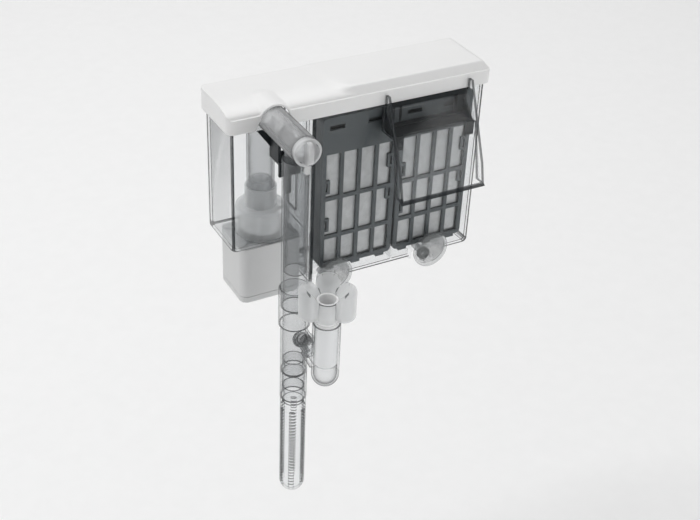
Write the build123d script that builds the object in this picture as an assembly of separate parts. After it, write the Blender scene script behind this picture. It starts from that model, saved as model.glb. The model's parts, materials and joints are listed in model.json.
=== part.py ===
"""Slim hang-on-back aquarium filter, in millimetres.

Origin: centre of the outlet tray's underside, which rests on the top edge of the
aquarium glass. +X runs along the filter, +Y points away from the tank, +Z is up.
"""
import os
from math import hypot

from build123d import *

# ---------------------------------------------------------------- driving dimensions
WALL = 2.0                # clear tub wall
TUB_LEFT, TUB_RIGHT = -151.5, 51.5
TUB_FRONT, TUB_BACK = 8.0, 53.0
TUB_TOP = 28.5
BAY_FLOOR = -74.0         # underside of the pump bay
BAY_RIGHT = -90.5         # left face of the partition between pump bay and filter chamber
TUB_FLOOR = -118.0        # underside of the filter chamber
TUB_ROUND = 5.0
POCKET_TOP = -112.0       # underside of the raised floor over each leveller
POCKET_DEPTH = 22.0
POCKET_HALF = 15.5

GLASS_FRONT = -6.0        # inner face of the hook lips; the glass slot is TUB_FRONT to here
LIP = 2.0
LIP_DROP = 9.0
HANGER_LEG = 32.0         # depth of the hanger's leg along the tub wall
TRAY_HALF = 33.0
TRAY_THICK = 2.0
SPILL_HALF = 28.0         # opening in the tub's front wall
SPILL_LOW, SPILL_HIGH = 1.5, 19.5
SPILL_GAP = 0.2
SPILL_RIM = 1.6

LID_GAP = 0.5
LID_WALL = 2.0
LID_LEFT, LID_RIGHT = TUB_LEFT - LID_GAP - LID_WALL, TUB_RIGHT + LID_GAP + LID_WALL
LID_FRONT, LID_BACK = TUB_FRONT - LID_GAP - LID_WALL, TUB_BACK + LID_GAP + LID_WALL
LID_ROUND = 5.0
LID_BOTTOM = 22.0
LID_TOP = 38.5
LID_CREASE = 32.6         # top of the upright skirt
LID_LEDGE = 1.5           # narrow level step above the skirt
LID_BEVEL = 3.8
LID_SHOULDER = ((2.0, 34.6), (6.0, 36.2), (13.0, 37.4), (24.0, 37.9))   # (depth, height) past the ledge
LID_STEP_X = -64.0        # where the raised right panel begins
LID_HUMP_R = 12.6         # bulge over the bridge tube
LID_RIB_XS = (-142.0, -98.0, -40.0, 36.0)

CHUTE_WALL = 1.6
CHUTE_SIDE = 2.2
CHUTE_RECESS = 0.4        # how far the sloping plate lies behind its side walls' edges
CHUTE_TIP = (1.2, 29.5)   # (y, z) of the front outline, from the top down
CHUTE_KINK = (-21.5, -27.0)
CHUTE_END = (-25.0, -42.0)
CHUTE_PLATE_TOP = 20.5

TUBE_R, TUBE_BORE = 10.0, 8.5
SPIGOT_R = 8.4
SPIGOT_BORE = 7.2
KNOB_BORE = 8.0           # recess in the regulator knob
PIPE_X = -119.5
BRIDGE_Z = 26.5
RISER_Y = 30.0            # suction leg inside the pump bay
INTAKE_Y = -27.0          # intake leg inside the tank
RISER_END = -50.0
BRIDGE_FRONT = -38.0
SPIGOT_END = -73.5
EXTENSION_TOP, EXTENSION_END = 15.0, -103.5
TEE_TOP, TEE_STEP, TEE_END = -88.0, -119.0, -161.0
COLLAR_R = 11.5
LOWER_END = -186.0
STRAINER_END = -280.0
STRAINER_R = 9.7
JOINT_LENGTH = 10.0       # how far each push-fit spigot goes in
FIT = 0.1

SKIM_X, SKIM_Y = -111.5, -61.0
SKIM_TOP, SKIM_ROUND_Z = -98.5, -142.5
FLOAT_BOTTOM, FLOAT_SHOULDER, NECK_TOP = -133.0, -97.0, -79.0
FLOAT_R, NECK_R, FLOAT_BORE = 8.3, 7.5, 6.0
CROWN_LOW, CROWN_HIGH = -95.0, -68.0
FUNNEL_SPREAD = 8.0       # how much the crown's funnel widens towards its top
LOBE_TURNS = (62.0, 152.0, 332.0)
LOBE_R, LOBE_OFFSET, LOBE_WALL = 8.5, 11.5, 1.2
BRANCH_R, BRANCH_BORE = 6.0, 4.6
BRANCH_Z0, BRANCH_Z1 = -120.0, -142.0
VALVE_AT = 14.0           # distance of the skimmer valve from the intake axis
VALVE_BODY_R, VALVE_PLUG_R, VALVE_KNOB_R = 5.5, 4.0, 5.6

VOLUTE_R, VOLUTE_TOP = 18.5, -50.0
VOLUTE_COLLAR = 15.0      # how far the impeller housing's collar reaches up round the suction leg
IMPELLER_R = 14.0
WELL_R, WELL_WALL, WELL_END = 9.5, 1.5, -107.0
MOTOR_WIDE, MOTOR_DEEP, MOTOR_END = 48.0, 40.0, -115.0
MOTOR_ROUND = 6.0
CAP_END = -121.0
GLAND_Z = -104.0
SHAFT_R = 1.5

CART_LEFTS = {"left": -80.5, "right": -17.5}
CART_WIDE, CART_TOP, CART_BOTTOM = 61.0, 17.0, -107.5
CART_FRONT, CART_MID, CART_BACK = 11.0, 19.0, 27.0
CART_PLATE = 2.0
WINDOW_WIDE, WINDOW_PITCH = 11.2, 14.2
WINDOW_ROWS = ((-47.0, -12.0), (-79.5, -50.0), (-104.0, -82.5))
FOOT_CENTRES = (9.0, 31.0, 52.0)
FOOT_DROP = 2.2

LEVEL_XS = {"left": -72.0, "right": 12.0}
LEVEL_Z = -119.2
PAD_Z, PAD_R, PAD_THICK = -110.0, 14.8, 3.0
PAD_FACE = 1.0            # y of the pad's face at rest
STEM_R, STEM_END = 2.75, 26.0
NUT_R, NUT_FROM, NUT_TO = 5.0, 10.4, 14.0
BRACKET_HALF = 4.5

parts = {}


# ---------------------------------------------------------------- small helpers
def block(x0, x1, y0, y1, z0, z1):
    """Box between two corners."""
    return Pos((x0 + x1) / 2, (y0 + y1) / 2, (z0 + z1) / 2) * Box(x1 - x0, y1 - y0, z1 - z0)


def rod(x, y, z0, z1, r):
    """Upright cylinder."""
    return Pos(x, y, (z0 + z1) / 2) * Cylinder(r, z1 - z0)


def tube(x, y, z0, z1, outer, inner):
    """Upright ring."""
    return rod(x, y, z0, z1, outer) - rod(x, y, z0 - 1, z1 + 1, inner)


def rod_y(x, z, y0, y1, r):
    """Cylinder along Y."""
    return Pos(x, (y0 + y1) / 2, z) * Rot(90, 0, 0) * Cylinder(r, y1 - y0)


def rounded(x0, x1, y0, y1, z0, z1, r):
    """Box with rounded upright corners."""
    plane = Plane.XY.offset(z0)
    sketch = plane * Pos((x0 + x1) / 2, (y0 + y1) / 2) * RectangleRounded(x1 - x0, y1 - y0, r)
    return extrude(sketch, z1 - z0)


def rounded_foot(x0, x1, y0, y1, z0, z1, r):
    """Box with rounded upright corners and rounded lower edges."""
    solid = rounded(x0, x1, y0, y1, z0, z1, r)
    return fillet(solid.edges().group_by(Axis.Z)[0], r - 0.4)


def side_plate(points, x0, x1):
    """Plate between x0 and x1 whose outline is given as (y, z) points."""
    outline = make_face(Polyline(*[(x0, y, z) for y, z in points], close=True))
    return extrude(outline, x1 - x0, dir=(1, 0, 0))


def ball(x, y, z, r):
    return Pos(x, y, z) * Sphere(r)


def slanted(start, end, r):
    """Cylinder from one point to another."""
    a, b = Vector(*start), Vector(*end)
    plane = Plane(origin=(a + b) * 0.5, z_dir=b - a)
    return plane * Cylinder(r, (b - a).length)


def along(start, end, distance):
    """Point at a distance from start on the way to end."""
    a, b = Vector(*start), Vector(*end)
    return a + (b - a).normalized() * distance


# ---------------------------------------------------------------- tub
def make_tub():
    left, right, front, back = TUB_LEFT, TUB_RIGHT, TUB_FRONT, TUB_BACK
    body = rounded_foot(left, right, front, back, BAY_FLOOR, TUB_TOP, TUB_ROUND)
    body += rounded_foot(BAY_RIGHT, right, front, back, TUB_FLOOR, TUB_TOP - 1, TUB_ROUND)
    inner = TUB_ROUND - WALL
    body -= rounded_foot(left + WALL, BAY_RIGHT, front + WALL, back - WALL,
                         BAY_FLOOR + WALL, TUB_TOP + 1, inner)
    body -= rounded_foot(BAY_RIGHT + WALL, right - WALL, front + WALL, back - WALL,
                         TUB_FLOOR + WALL, TUB_TOP + 1, inner)
    for x in LEVEL_XS.values():
        x0, x1 = x - POCKET_HALF, x + POCKET_HALF
        body += block(x0, x1, front, front + POCKET_DEPTH, TUB_FLOOR, POCKET_TOP + WALL)
        body -= block(x0 + WALL, x1 - WALL, front - 1, front + POCKET_DEPTH - WALL,
                      TUB_FLOOR - 1, POCKET_TOP)
    divider = (CART_LEFTS["left"] + CART_WIDE + CART_LEFTS["right"]) / 2
    body += block(divider - 0.8, divider + 0.8, front + WALL, CART_BACK + 2,
                  TUB_FLOOR + WALL, -102.0)
    # guides that hold the cartridges' edges away from the walls
    body += block(right - 6, right - WALL, CART_BACK + 0.6, CART_BACK + 2.6, -105, 10)
    body += block(BAY_RIGHT + WALL, BAY_RIGHT + 6, CART_BACK + 0.6, CART_BACK + 2.6, -105, 10)
    # water passes from the pump bay to the space behind the cartridges
    body -= block(BAY_RIGHT - 1, BAY_RIGHT + WALL + 1, 33, 47, -66, -30)
    # opening of the waterfall and rest for the bridge tube
    body -= block(-SPILL_HALF, SPILL_HALF, front - 1, front + WALL + 1, SPILL_LOW, SPILL_HIGH)
    body -= rod_y(PIPE_X, BRIDGE_Z, front - 1, front + WALL + 1, TUBE_R + 0.4)
    # mouth of the rotor well
    body -= rod(PIPE_X, RISER_Y, BAY_FLOOR - 1, BAY_FLOOR + WALL + 1, WELL_R)
    return body


# ---------------------------------------------------------------- waterfall outlet
def make_tray():
    """Grey shelf that carries the filter on the glass, with its frame in the tub wall."""
    front = GLASS_FRONT - LIP
    flange_back = TUB_FRONT
    tray = block(-TRAY_HALF, TRAY_HALF, GLASS_FRONT, flange_back, 0, TRAY_THICK)
    tray += block(-TRAY_HALF, TRAY_HALF, flange_back - 2, flange_back, 0, LID_BOTTOM - 0.7)
    half, low, high = SPILL_HALF - SPILL_GAP, SPILL_LOW + SPILL_GAP, SPILL_HIGH - SPILL_GAP
    tray += block(-half, half, flange_back - 2, flange_back + WALL + 0.6, low, high)
    tray -= block(-half + SPILL_RIM, half - SPILL_RIM, front, flange_back + WALL + 2,
                  TRAY_THICK + 0.8, high - SPILL_RIM)
    for side in (-1, 1):
        x0, x1 = sorted((side * TRAY_HALF, side * (TRAY_HALF - 7)))
        tray += block(x0, x1, front, GLASS_FRONT, -LIP_DROP, TRAY_THICK)
        # triangular web that stiffens the shelf
        web = side_plate([(flange_back - 2, TRAY_THICK), (GLASS_FRONT, TRAY_THICK),
                          (flange_back - 2, 14)], side * TRAY_HALF, side * (TRAY_HALF - 1.6))
        tray += web
    return tray


def make_chute():
    """Clear hood that leads the water down into the tank."""
    tip, kink, end = CHUTE_TIP, CHUTE_KINK, CHUTE_END
    slope = (tip[0] - kink[0]) / (tip[1] - kink[1])
    plate_top = (tip[0] - slope * (tip[1] - CHUTE_PLATE_TOP), CHUTE_PLATE_TOP)
    inner = CHUTE_WALL
    outline = [tip, (4.8, tip[1]), (4.8, LID_BOTTOM - 0.5), (TUB_FRONT - 0.2, LID_BOTTOM - 0.5),
               (TUB_FRONT - 0.2, 0.2), (GLASS_FRONT - LIP - 0.3, 0.2), (-17.0, end[1]), end, kink]
    half = TRAY_HALF + 0.2
    chute = side_plate(outline, -half - CHUTE_SIDE, -half)
    chute += side_plate(outline, half, half + CHUTE_SIDE)
    plate = [(y + offset, z) for offset, line in ((CHUTE_RECESS, (plate_top, kink, end)),
                                                  (CHUTE_RECESS + inner, (end, kink, plate_top)))
             for y, z in line]
    chute += side_plate(plate, -half, half)
    lip = [(end[0] + inner, end[1]), end, (end[0] - 1.6, end[1] - 1.6), (end[0], end[1] - 1.6)]
    chute += side_plate(lip, -half - CHUTE_SIDE, half + CHUTE_SIDE)
    return chute


def make_hanger():
    """Grey hook under the bridge tube: second rest on the glass."""
    x0, x1 = PIPE_X - 3.5, PIPE_X + 12.5
    front = GLASS_FRONT - LIP
    hook = block(x0, x1, GLASS_FRONT, TUB_FRONT - 0.1, 0, TRAY_THICK)
    hook += block(x0, x1, front, GLASS_FRONT, -LIP_DROP, TRAY_THICK)
    hook += block(x1 - 5, x1, TUB_FRONT - 2, TUB_FRONT - 0.1, -HANGER_LEG, LID_BOTTOM - 1)
    for x in (x0, x1 - 6):
        hook += block(x, x + 2, GLASS_FRONT, TUB_FRONT - 0.1, TRAY_THICK, BRIDGE_Z - 4)
    reach = TUBE_R + 3
    outline = [(PIPE_X - reach, LID_BOTTOM - 1), (PIPE_X - 3.5, 8), (x1, 8), (x1, LID_BOTTOM - 1)]
    saddle = make_face(Polyline(*[(x, TUB_FRONT - 2, z) for x, z in outline], close=True))
    hook += extrude(saddle, 1.9, dir=(0, 1, 0))
    return hook - rod_y(PIPE_X, BRIDGE_Z, -20, 20, TUBE_R + 0.15)


# ---------------------------------------------------------------- lid
def lid_shell(inset):
    """The lid's solid block, drawn in by inset on every outer face."""
    left, right = LID_LEFT + inset, LID_RIGHT - inset
    front, back, top = LID_FRONT + inset, LID_BACK - inset, LID_TOP - inset
    ledge, crease = front + LID_LEDGE, LID_CREASE - inset
    shoulder = [(ledge + depth, height - inset) for depth, height in LID_SHOULDER]
    sloping = side_plate([(front, LID_BOTTOM), (front, crease), (ledge, crease), *shoulder,
                          (back, shoulder[-1][1]), (back, LID_BOTTOM)], left, right)
    raised = side_plate([(front, LID_BOTTOM), (front, crease), (ledge, crease), (ledge + LID_BEVEL, top),
                         (back, top), (back, LID_BOTTOM)], LID_STEP_X + inset, right)
    ramp = Pos(LID_STEP_X + inset, 30, top) * Rot(0, -50, 0) * Pos(-20, 0, 0) * Box(40, 90, 60)
    run = LID_LEDGE + LID_BEVEL
    chamfer = make_face(Polyline((right - run, front - 1, top), (right + 1, front - 1, top + 1),
                                 (right + 1, front - 1, crease), (right - LID_LEDGE, front - 1, crease), close=True))
    return (sloping + (raised - ramp)) - extrude(chamfer, LID_BACK - LID_FRONT + 2, dir=(0, 1, 0))


def lid_hump(inset):
    """Two solids that make the lid's bulge over the bridge tube."""
    r = LID_HUMP_R - inset
    below = block(PIPE_X - 20, PIPE_X + 20, -20, 60, -20, LID_BOTTOM)
    barrel = rod_y(PIPE_X, BRIDGE_Z, LID_FRONT + inset, RISER_Y, r)
    return barrel - below, ball(PIPE_X, RISER_Y, BRIDGE_Z, r) - below


def make_lid():
    outer = lid_shell(0)
    corners = [e for e in outer.edges().filter_by(Axis.Z)
               if abs(e.center().X - LID_LEFT) < 0.01 or abs(e.center().X - LID_RIGHT) < 0.01]
    lid = fillet(corners, LID_ROUND)
    for bulge in lid_hump(0):
        lid += bulge
    lid -= lid_shell(LID_WALL)
    for hollow in lid_hump(LID_WALL):
        lid -= hollow
    lid -= rounded(LID_LEFT + LID_WALL, LID_RIGHT - LID_WALL, LID_FRONT + LID_WALL, LID_BACK - LID_WALL,
                   LID_BOTTOM - 1, LID_BOTTOM + 1, LID_ROUND - LID_WALL)
    # arch over the bridge tube
    arch_r = TUBE_R + 0.8
    wall_back = LID_FRONT + LID_WALL + 1
    lid -= rod_y(PIPE_X, BRIDGE_Z, LID_FRONT - 5, wall_back, arch_r)
    lid -= block(PIPE_X - arch_r, PIPE_X + arch_r, LID_FRONT - 5, wall_back, LID_BOTTOM - 1, BRIDGE_Z)
    # ribs that rest on the tub's rim
    for x in LID_RIB_XS:
        for y0, y1 in ((LID_FRONT + 1, TUB_FRONT + 1.6), (TUB_BACK - 1.6, LID_BACK - 1)):
            lid += block(x - 0.8, x + 0.8, y0, y1, TUB_TOP + 0.05, TUB_TOP + 2.5)
    return lid


# ---------------------------------------------------------------- suction side
def make_bridge():
    """Clear tube over the glass: suction leg, bridge and outer spigot."""
    def run(r_leg, r_spigot, extra):
        body = rod(PIPE_X, RISER_Y, RISER_END - extra, BRIDGE_Z, r_leg)
        body += rod_y(PIPE_X, BRIDGE_Z, BRIDGE_FRONT - extra, RISER_Y, r_leg)
        body += ball(PIPE_X, RISER_Y, BRIDGE_Z, r_leg)
        body += rod(PIPE_X, INTAKE_Y, SPIGOT_END - extra, BRIDGE_Z, r_spigot)
        return body

    return run(TUBE_R, SPIGOT_R, 0) - run(TUBE_BORE, SPIGOT_BORE, 1)


def make_regulator():
    """Barrel inside the bridge tube that closes the intake when turned, and its knob."""
    r = TUBE_BORE - FIT
    barrel = rod_y(PIPE_X, BRIDGE_Z, BRIDGE_FRONT - 0.4, INTAKE_Y + 11, r)
    barrel -= rod_y(PIPE_X, BRIDGE_Z, BRIDGE_FRONT + 2, INTAKE_Y + 12, r - 1.4)
    barrel -= rod(PIPE_X, INTAKE_Y, BRIDGE_Z - 20, BRIDGE_Z, 6.6)
    cap_front, cap_back = BRIDGE_FRONT - 5.5, BRIDGE_FRONT - 0.4
    knob = rod_y(PIPE_X, BRIDGE_Z, cap_front, cap_back, TUBE_R)
    knob = fillet(knob.edges().group_by(Axis.Y)[0], 1.0)
    knob -= rod_y(PIPE_X, BRIDGE_Z, cap_front - 1, cap_back - 1.6, KNOB_BORE)
    grip = block(PIPE_X - 1.7, PIPE_X + 1.7, cap_front - 4.5, cap_back - 1,
                 BRIDGE_Z - KNOB_BORE - 0.4, BRIDGE_Z + KNOB_BORE + 0.4)
    grip = fillet(grip.edges().filter_by(Axis.X).group_by(Axis.Y)[0], 4.5)
    pointer = block(PIPE_X - 1.8, PIPE_X + 1.8, cap_front + 0.8, cap_back,
                    BRIDGE_Z - TUBE_R - 6, BRIDGE_Z - TUBE_R + 1)
    pointer = fillet(pointer.edges().filter_by(Axis.Y).group_by(Axis.Z)[0], 1.2)
    groove_y = BRIDGE_FRONT + 4
    groove = rod_y(PIPE_X, BRIDGE_Z, groove_y - 1, groove_y + 1, r + 1)
    groove -= rod_y(PIPE_X, BRIDGE_Z, groove_y - 1, groove_y + 1, r - 0.7)
    seal = rod_y(PIPE_X, BRIDGE_Z, groove_y - 0.9, groove_y + 0.9, r + 0.02)
    seal -= rod_y(PIPE_X, BRIDGE_Z, groove_y - 2, groove_y + 2, r - 0.65)
    return barrel - groove, knob + grip + pointer, seal


def branch_ends():
    """Ends of the branch line, from the intake axis to the skimmer axis."""
    return (PIPE_X, INTAKE_Y, BRANCH_Z0), (SKIM_X, SKIM_Y, BRANCH_Z1)


def valve_axis():
    """Direction across the branch, halfway between level left and upright."""
    start, end = branch_ends()
    branch = (Vector(*end) - Vector(*start)).normalized()
    level = Vector(branch.Y, -branch.X, 0).normalized()
    return (level + level.cross(branch)).normalized()


def valve_line(near, far):
    """Two points on the valve's axis, near and far from the branch."""
    centre, axis = along(*branch_ends(), VALVE_AT), valve_axis()
    return tuple(centre + axis * near), tuple(centre + axis * far)


def make_tee():
    start, end = branch_ends()
    stop = along(start, end, hypot(SKIM_X - PIPE_X, SKIM_Y - INTAKE_Y) - TUBE_R + 0.6)
    tee = rod(PIPE_X, INTAKE_Y, TEE_STEP, TEE_TOP, COLLAR_R)
    tee += rod(PIPE_X, INTAKE_Y, TEE_END, TEE_STEP, TUBE_R)
    tee = fillet(tee.edges().filter_by(GeomType.CIRCLE).group_by(Axis.Z)[-1], 0.8)
    tee += slanted(start, tuple(stop), BRANCH_R)
    tee += slanted(*valve_line(-7.5, 7.5), VALVE_BODY_R)
    tee -= rod(PIPE_X, INTAKE_Y, EXTENSION_END, TEE_TOP + 1, TUBE_R + 0.05)
    tee -= rod(PIPE_X, INTAKE_Y, TEE_END - 1, EXTENSION_END + 1, TUBE_BORE)
    tee -= slanted(start, tuple(along(start, end, 60)), BRANCH_BORE)
    tee -= slanted(*valve_line(-5.5, 9), VALVE_PLUG_R + 0.05)
    return tee


def make_valve():
    """Plug of the skimmer valve with its finger knob."""
    plug = slanted(*valve_line(-5.3, 8), VALVE_PLUG_R)
    start, end = branch_ends()
    plug -= slanted(start, end, 3.0)
    knob = slanted(*valve_line(7.7, 11), VALVE_KNOB_R) - slanted(*valve_line(9, 12), VALVE_KNOB_R - 1.3)
    knob += slanted(*valve_line(8, 11.5), 2.6)
    centre = Vector(*valve_line(8, 8.4)[1])
    down = (Vector(*end) - Vector(*start)).normalized()
    plane = Plane(origin=centre + down * (VALVE_KNOB_R + 2), z_dir=valve_axis(), x_dir=down)
    return plug + knob + plane * Box(6, 2.4, 1.4)


def make_extension():
    return tube(PIPE_X, INTAKE_Y, EXTENSION_END, EXTENSION_TOP, TUBE_R, TUBE_BORE)


def make_lower_tube():
    body = tube(PIPE_X, INTAKE_Y, LOWER_END, TEE_END, TUBE_R, TUBE_BORE)
    body += tube(PIPE_X, INTAKE_Y, TEE_END - 2, TEE_END, TUBE_R, SPIGOT_BORE)
    return body + tube(PIPE_X, INTAKE_Y, TEE_END, TEE_END + JOINT_LENGTH, SPIGOT_R, SPIGOT_BORE)


def make_strainer():
    """Closed cap tube with rows of narrow slots round it."""
    x, y = PIPE_X, INTAKE_Y
    bore = STRAINER_R - 1.4
    low = STRAINER_END + STRAINER_R
    body = rod(x, y, low, LOWER_END, STRAINER_R) + ball(x, y, low, STRAINER_R)
    body += rod(x, y, LOWER_END - 1, LOWER_END + JOINT_LENGTH, SPIGOT_R)
    body -= rod(x, y, low, LOWER_END - 4, bore) + ball(x, y, low, bore)
    body -= rod(x, y, LOWER_END - 5, LOWER_END + JOINT_LENGTH + 1, SPIGOT_BORE)
    slot_tall, pitch, rows, post = 1.4, 3.0, 27, 5.4
    first = LOWER_END - 10
    posts = Part() + [Pos(x, y, 0) * Rot(0, 0, turn) * Box(post, 40, 900) for turn in (0, 60, 120)]
    rings = [rod(x, y, first - i * pitch - slot_tall, first - i * pitch, STRAINER_R + 2) for i in range(rows)]
    cutter = Part() + rings
    cutter -= rod(x, y, STRAINER_END - 5, LOWER_END, bore - 0.6)
    cutter -= posts
    return body - cutter


# ---------------------------------------------------------------- surface skimmer
def make_skimmer_tube():
    x, y = SKIM_X, SKIM_Y
    start, end = branch_ends()
    reach = hypot(x - PIPE_X, y - INTAKE_Y)
    body = rod(x, y, SKIM_ROUND_Z, SKIM_TOP, TUBE_R) + ball(x, y, SKIM_ROUND_Z, TUBE_R)
    boss_start, boss_end = along(start, end, VALVE_AT + VALVE_BODY_R + 1), along(start, end, reach - 2)
    body += slanted(tuple(boss_start), tuple(boss_end), BRANCH_R + 1.6)
    body -= rod(x, y, FLOAT_BOTTOM - 0.3, SKIM_TOP + 1, TUBE_BORE)
    body -= rod(x, y, SKIM_ROUND_Z, SKIM_TOP, TUBE_BORE - 1.6)
    body -= rod(x, y, SKIM_ROUND_Z, FLOAT_BOTTOM - 2.5, TUBE_BORE) + ball(x, y, SKIM_ROUND_Z, TUBE_BORE)
    body -= slanted(tuple(along(start, end, 10)), tuple(along(start, end, reach - TUBE_R + 0.8)), BRANCH_R + 0.05)
    body -= slanted(tuple(along(start, end, 10)), tuple(along(start, end, reach)), BRANCH_BORE)
    return body


def make_float():
    x, y = SKIM_X, SKIM_Y
    body = rod(x, y, FLOAT_BOTTOM, FLOAT_SHOULDER, FLOAT_R)
    body += rod(x, y, FLOAT_SHOULDER - 1, NECK_TOP, NECK_R)
    body -= rod(x, y, FLOAT_BOTTOM - 1, NECK_TOP + 1, FLOAT_BORE)
    return fillet(body.edges().filter_by(GeomType.CIRCLE).group_by(Axis.Z)[0], 0.8)


def lobe(x, y, low, high, r, round_to):
    """Upright bulb with rounded ends."""
    bulb = rod(x, y, low, high, r)
    return fillet(bulb.edges().filter_by(GeomType.CIRCLE), round_to)


def make_crown():
    """Three sealed air bulbs on a sleeve, cut by the funnel that leads surface water to the neck."""
    x, y = SKIM_X, SKIM_Y
    sleeve_r = NECK_R + 1.3
    funnel_rise = CROWN_HIGH - NECK_TOP
    crown = rod(x, y, CROWN_LOW, NECK_TOP, sleeve_r)
    funnel = Pos(x, y, NECK_TOP + funnel_rise / 2) * Cone(NECK_R, NECK_R + FUNNEL_SPREAD, funnel_rise)
    guard_base = rod(x, y, CROWN_LOW - 1, NECK_TOP, sleeve_r)
    guard = Pos(x, y, NECK_TOP + funnel_rise / 2) * Cone(sleeve_r, sleeve_r + FUNNEL_SPREAD, funnel_rise)
    for turn in LOBE_TURNS:
        at = Pos(x, y, 0) * Rot(0, 0, turn) * Pos(LOBE_OFFSET, 0, 0)
        inner_r = LOBE_R - LOBE_WALL
        hollow = at * lobe(0, 0, CROWN_LOW + LOBE_WALL, CROWN_HIGH - LOBE_WALL, inner_r, 3.2)
        crown += at * lobe(0, 0, CROWN_LOW, CROWN_HIGH, LOBE_R, 4.4)
        crown -= hollow - guard_base - guard
    crown -= funnel
    return crown - rod(x, y, CROWN_LOW - 1, NECK_TOP + 1, NECK_R + 0.03)


# ---------------------------------------------------------------- pump
def make_volute():
    """Impeller housing with the inlet spout that enters the suction leg."""
    x, y, floor = PIPE_X, RISER_Y, BAY_FLOOR + WALL
    body = rod(x, y, floor, VOLUTE_TOP, VOLUTE_R)
    body = fillet(body.edges().group_by(Axis.Z)[-1], 2.5)
    body += tube(x, y, VOLUTE_TOP - 1, VOLUTE_TOP + VOLUTE_COLLAR, COLLAR_R, TUBE_R + FIT)
    body += rod(x, y, VOLUTE_TOP - 1, VOLUTE_TOP + 20, SPIGOT_R - 0.1)
    body -= rod(x, y, floor - 1, VOLUTE_TOP - 3, VOLUTE_R - 2)
    body -= rod(x, y, VOLUTE_TOP - 4, VOLUTE_TOP + 21, SPIGOT_BORE - 0.9)
    body -= block(x + 6, x + 30, y - 5, y + 7, floor + 5, VOLUTE_TOP - 6)
    arm_low = VOLUTE_TOP - 3
    for turn in (0, 60, 120):
        arm = Pos(x, y, arm_low + 1.5) * Rot(0, 0, turn) * Box(2 * SPIGOT_BORE - 1, 1.4, 3)
        body += arm
    body += rod(x, y, arm_low, arm_low + 3, 3.6)
    return body - rod(x, y, arm_low - 1, arm_low + 2, 2.6)


def make_impeller():
    x, y = PIPE_X, RISER_Y
    low, high = BAY_FLOOR + WALL + 2.5, VOLUTE_TOP - 5
    wheel = rod(x, y, low, low + 1.6, IMPELLER_R)
    for i in range(6):
        vane = block(x + 4, x + IMPELLER_R - 0.6, y - 0.6, y + 0.6, low, high)
        wheel += Pos(x, y, 0) * Rot(0, 0, 60 * i) * Pos(-x, -y, 0) * vane
    wheel += rod(x, y, low - 4, high, 4.6)
    return wheel - rod(x, y, low - 5, high + 1, SHAFT_R + 0.05)


def make_rotor():
    x, y = PIPE_X, RISER_Y
    high = BAY_FLOOR + WALL - 1.5
    magnet = tube(x, y, WELL_END + 4.5, high, WELL_R - 0.7, SHAFT_R + 0.05)
    return magnet


def make_motor_housing():
    x, y, r = PIPE_X, RISER_Y, WELL_R + WELL_WALL
    hx, hy = MOTOR_WIDE / 2, MOTOR_DEEP / 2
    body = rounded(x - hx, x + hx, y - hy, y + hy, MOTOR_END, BAY_FLOOR, MOTOR_ROUND)
    body -= rounded(x - hx + 2, x + hx - 2, y - hy + 2, y + hy - 2, MOTOR_END - 1, BAY_FLOOR - 3,
                    MOTOR_ROUND - 2)
    body += rod(x, y, WELL_END, BAY_FLOOR - 1, r)
    body -= rod(x, y, WELL_END + 1.5, BAY_FLOOR + 1, WELL_R)
    body -= tube(x, y, BAY_FLOOR - 1.8, BAY_FLOOR + 1, 14.1, 11.9)
    for bx, by in screw_places():
        boss = rod(bx, by, MOTOR_END, MOTOR_END + 12, 3.2)
        body += boss - rod(bx, by, MOTOR_END - 1, MOTOR_END + 9, 1.3)
    body -= rod_y(x, GLAND_Z, y + hy - 5, y + hy + 1, 4.05)
    return body


def screw_places():
    """Centres of the four cap screws."""
    dx, dy = MOTOR_WIDE / 2 - 4.8, MOTOR_DEEP / 2 - 4.8
    return [(PIPE_X + sx * dx, RISER_Y + sy * dy) for sx in (-1, 1) for sy in (-1, 1)]


def make_motor_cap():
    x, y = PIPE_X, RISER_Y
    hx, hy = MOTOR_WIDE / 2, MOTOR_DEEP / 2
    cap = rounded(x - hx, x + hx, y - hy, y + hy, CAP_END, MOTOR_END - 0.3, MOTOR_ROUND)
    cap = fillet(cap.edges().group_by(Axis.Z)[0], 2.2)
    for bx, by in screw_places():
        cap -= rod(bx, by, CAP_END - 1, MOTOR_END + 1, 1.7)
        cap -= rod(bx, by, CAP_END - 1, CAP_END + 2.4, 3.1)
    return cap


def make_screws():
    """Four pan-head screws, as separate solids."""
    screws = []
    for bx, by in screw_places():
        screw = rod(bx, by, CAP_END + 2.4, MOTOR_END + 8, 1.25)
        head = rod(bx, by, CAP_END + 0.6, CAP_END + 2.4, 2.9)
        head -= block(bx - 2, bx + 2, by - 0.35, by + 0.35, CAP_END, CAP_END + 1.4)
        head -= block(bx - 0.35, bx + 0.35, by - 2, by + 2, CAP_END, CAP_END + 1.4)
        screws.append(screw + head)
    return Compound(screws)


def make_stator():
    """Laminated C core round the rotor well."""
    x, y, r = PIPE_X, RISER_Y, WELL_R + WELL_WALL + 0.2
    low, high = -100.0, -84.0
    core = block(x - r - 4, x + 20, y - 15, y + 15, low, high)
    core -= rod(x, y, low - 1, high + 1, r)
    core -= block(x + r - 1, x + 15, y - 8, y + 8, low - 1, high + 1)
    return core - block(x - r - 5, x - r + 3, y - 1.5, y + 1.5, low - 1, high + 1)


def make_coil():
    """Winding on the core's long limb."""
    x, y = PIPE_X, RISER_Y
    low, high = -103.5, -80.5
    coil = rounded(x + 12.4, x + 21.9, y - 7.4, y + 7.4, low, high, 2.0)
    return coil - block(x + 14.9, x + 20.1, y - 9, y + 9, -100.1, -83.9)


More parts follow.
